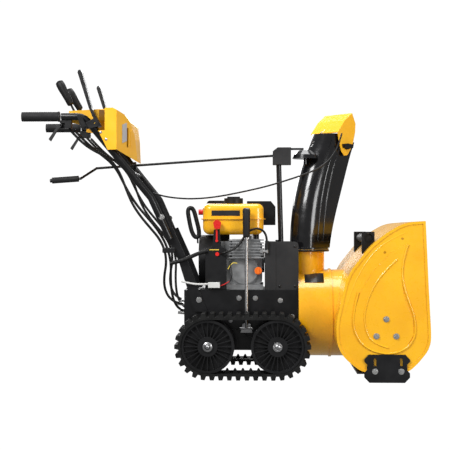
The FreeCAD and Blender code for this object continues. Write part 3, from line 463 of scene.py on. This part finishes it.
def make_side_plate_creases():
    """Three creases on each side plate: along the back edge, round the panel and inside it."""
    outer = [(0.612, 0.500), (0.560, 0.478), (0.500, 0.428), (0.452, 0.352), (0.425, 0.282), (0.412, 0.236)]
    flame = [(0.622, 0.462), (0.606, 0.420), (0.600, 0.350), (0.618, 0.285), (0.642, 0.225), (0.648, 0.160),
             (0.618, 0.112), (0.556, 0.092), (0.482, 0.112), (0.444, 0.160), (0.436, 0.226), (0.456, 0.302)]
    inner = [(0.586, 0.412), (0.544, 0.374), (0.504, 0.318), (0.482, 0.262), (0.474, 0.214), (0.484, 0.160),
             (0.512, 0.128), (0.556, 0.116)]
    for side, name in sides:
        y = side * 0.2985
        creases = (("outer", outer, -0.002), ("flame", flame, 0.0022), ("inner", inner, 0.0022))
        for label, route, height in creases:
            points = [(x, y + side * height, z) for x, z in route]
            curve_piece(f"{name}_plate_{label}_crease", points, 0.0034, "yellow_paint", "chassis")


def make_track_details():
    """Hub washers, the splined hub star and the belt's inner guide lugs."""
    for side, name in sides:
        washer = [(0.0, 0.0068), (0.0062, 0.0068), (0.0068, 0.0056), (0.0068, 0.0016), (0.0160, 0.0012),
                  (0.0168, 0.0), (0.0160, -0.0006)]
        lathe(f"{name}_idler_washer", washer, (idler_wheel_x, side * 0.2655, wheel_z), (0, side, 0), "steel",
              "track_frame")
        cap = [(0.0, 0.004), (0.006, 0.004), (0.0075, 0.0025), (0.0090, 0.0022), (0.0095, 0.0)]
        lathe(f"{name}_drive_cap", cap, (drive_wheel_x, side * 0.267, wheel_z), (0, side, 0), "steel",
              "drive_wheels")
        splines = 8
        for k in range(splines):
            angle = 2 * math.pi * k / splines
            x = drive_wheel_x + 0.0122 * math.cos(angle)
            z = wheel_z + 0.0122 * math.sin(angle)
            lathe(f"{name}_spline_{k + 1}", [(0.0, 0.002), (0.0018, 0.002), (0.0022, 0.0)],
                  (x, side * 0.267, z), (0, side, 0), "steel", "drive_wheels", 12)
        for k in range(5):
            x = 0.014 + 0.027 * k
            y = side * track_centre_y
            foot_z = 0.0213
            tip_z = 0.035
            verts = [(x - 0.009, y - 0.012, foot_z), (x + 0.009, y - 0.012, foot_z),
                     (x + 0.002, y - 0.010, tip_z), (x - 0.002, y - 0.010, tip_z),
                     (x - 0.009, y + 0.012, foot_z), (x + 0.009, y + 0.012, foot_z),
                     (x + 0.002, y + 0.010, tip_z), (x - 0.002, y + 0.010, tip_z)]
            faces = [(0, 1, 2, 3), (7, 6, 5, 4), (0, 4, 5, 1), (3, 2, 6, 7), (0, 3, 7, 4), (1, 5, 6, 2)]
            add_mesh(f"{name}_guide_lug_{k + 1}", verts, faces, "track_rubber", "track_frame", smooth=False)


def make_lever_details():
    """Rounded knobs, the height lever's sleeve and the grips' collars and ribs."""
    knobs = {
        "shift_knob": ((-0.559, -0.040, 0.966), (-0.600, -0.040, 1.044), "shift_lever"),
        "tilt_knob": ((-0.542, 0.060, 0.960), (-0.584, 0.060, 1.028), "tilt_lever"),
    }
    for name, (base, tip, body) in knobs.items():
        way = Vector(tip) - Vector(base)
        length = way.length
        profile = [(0.0, -0.004), (0.0095, -0.004), (0.0120, 0.0), (0.0130, length * 0.3),
                   (0.0158, length * 0.75), (0.0156, length * 0.92), (0.0125, length * 1.02),
                   (0.0070, length * 1.06), (0.0, length * 1.07)]
        lathe(name, profile, base, way, "black_plastic", body)
    sleeve = [(0.0058, 0.0), (0.0100, 0.0), (0.0124, 0.006), (0.0128, 0.050), (0.0136, 0.094),
              (0.0118, 0.101), (0.0060, 0.1035), (0.0, 0.104)]
    lathe("height_lever_sleeve", sleeve, (0.079, -0.138, 0.484), (0, 0, 1), "grip_rubber", "height_lever")
    collar = [(0.0168, 0.0), (0.0182, 0.001), (0.0182, 0.005), (0.0168, 0.006)]
    rib = [(0.0166, -0.0009), (0.0171, 0.0), (0.0166, 0.0009)]
    for side, name in sides:
        y = side * grip_y
        lathe(f"{name}_grip_collar", collar, (-0.572, y, grip_z), (1, 0, 0), "grip_rubber", "chassis")
        for k in range(14):
            lathe(f"{name}_grip_rib_{k + 1}", rib, (-0.688 + 0.0076 * k, y, grip_z), (1, 0, 0),
                  "grip_rubber", "chassis", 32)


def make_chute_ring():
    """Black retaining ring over the neck's flange, with its screws."""
    ring = [(0.0845, 0.4395), (0.0862, 0.4385), (0.0862, 0.4325), (0.0690, 0.4318), (0.0690, 0.4336)]
    lathe("chute_retaining_ring", ring, (chute_axis_x, 0, 0), (0, 0, 1), "black_paint", "chassis", 72)
    for k in range(4):
        angle = math.radians(45 + 90 * k)
        place = (chute_axis_x + 0.0775 * math.cos(angle), 0.0775 * math.sin(angle), 0.4318)
        lathe(f"ring_screw_{k + 1}", [(0.0, 0.004), (0.004, 0.004), (0.0045, 0.0)], place, (0, 0, -1),
              "zinc", "chassis", 16)


def make_starter_grip():
    """Thick round D handle of the recoil starter, and its rope."""
    loop = metres([(-131, -60, 566), (-133, -60, 584), (-121, -60, 591), (-110, -60, 580),
                   (-102, -60, 548), (-92, -60, 510), (-92, -60, 486), (-106, -60, 483),
                   (-117, -60, 500), (-125, -60, 530)])
    grip = curve_piece("starter_grip", loop, 0.0078, "black_plastic", "starter_handle")
    grip.data.splines[0].use_cyclic_u = True
    rope_route = metres([(-96.5, -60, 462), (-96.7, -60, 467), (-96.8, -60, 472), (-97, -60, 478),
                         (-97, -60, 484)])
    rope = as_mesh(curve_piece("starter_rope", rope_route, 0.003, "cable_black", None))
    rope.name = "starter_rope"
    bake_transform(rope)
    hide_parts("starter_handle")


def make_screws():
    """Screw heads on the console and the belt cover."""
    head = [(0.0, 0.0026), (0.0030, 0.0024), (0.0048, 0.0012), (0.0052, 0.0)]
    for side, name in sides:
        for k, (x, z) in enumerate(((-0.421, 0.846), (-0.402, 0.822))):
            lathe(f"{name}_console_screw_{k + 1}", head, (x, side * 0.228, z), (0, side, 0), "zinc",
                  "chassis", 20)
        for k, (x, z) in enumerate(((0.196, 0.312), (0.250, 0.312), (0.250, 0.452))):
            lathe(f"{name}_cover_screw_{k + 1}", head, (x, side * 0.115, z), (0, side, 0), "black_paint",
                  "chassis", 20)


def make_engine_details():
    """Wiring beside the engine, its connector and the harness clamp."""
    wires = {
        "red_wire": (0.0016, "wire_red", [(20, -120, 330), (8, -124, 322), (-6, -127, 315),
                                          (-20, -128, 312)]),
        "yellow_wire": (0.0016, "wire_yellow", [(46, -121, 392), (36, -125, 396), (22, -125, 388),
                                                (14, -124, 372)]),
        "black_wire": (0.0016, "cable_black", [(20, -124, 400), (26, -128, 372), (30, -128, 346),
                                               (20, -126, 328)]),
        "starter_harness": (0.0072, "cable_black", [(-190, -146, 392), (-168, -146, 398), (-140, -142, 404),
                                                    (-112, -136, 418), (-84, -128, 430), (-60, -124, 436)]),
        "lower_harness": (0.0035, "connector_white", [(-150, -140, 330), (-120, -138, 322),
                                                      (-84, -134, 318), (-52, -131, 320)]),
    }
    for name, (radius, finish, route) in wires.items():
        curve_piece(name, metres(route), radius, finish, "chassis")
    soft_block("white_connector", (-0.056, -0.138, 0.306), (-0.014, -0.124, 0.326), "connector_white",
               "chassis", 0.002)
    soft_block("harness_clamp", (-0.214, -0.168, 0.430), (-0.170, -0.132, 0.448), "black_plastic",
               "chassis", 0.003)


make_camera()
make_lights()
finish_cad_nodes()
make_cables()
make_spring()
make_chute_creases()
make_decals()
make_engine_details()
make_side_plate_creases()
make_track_details()
make_lever_details()
make_chute_ring()
make_starter_grip()
make_screws()
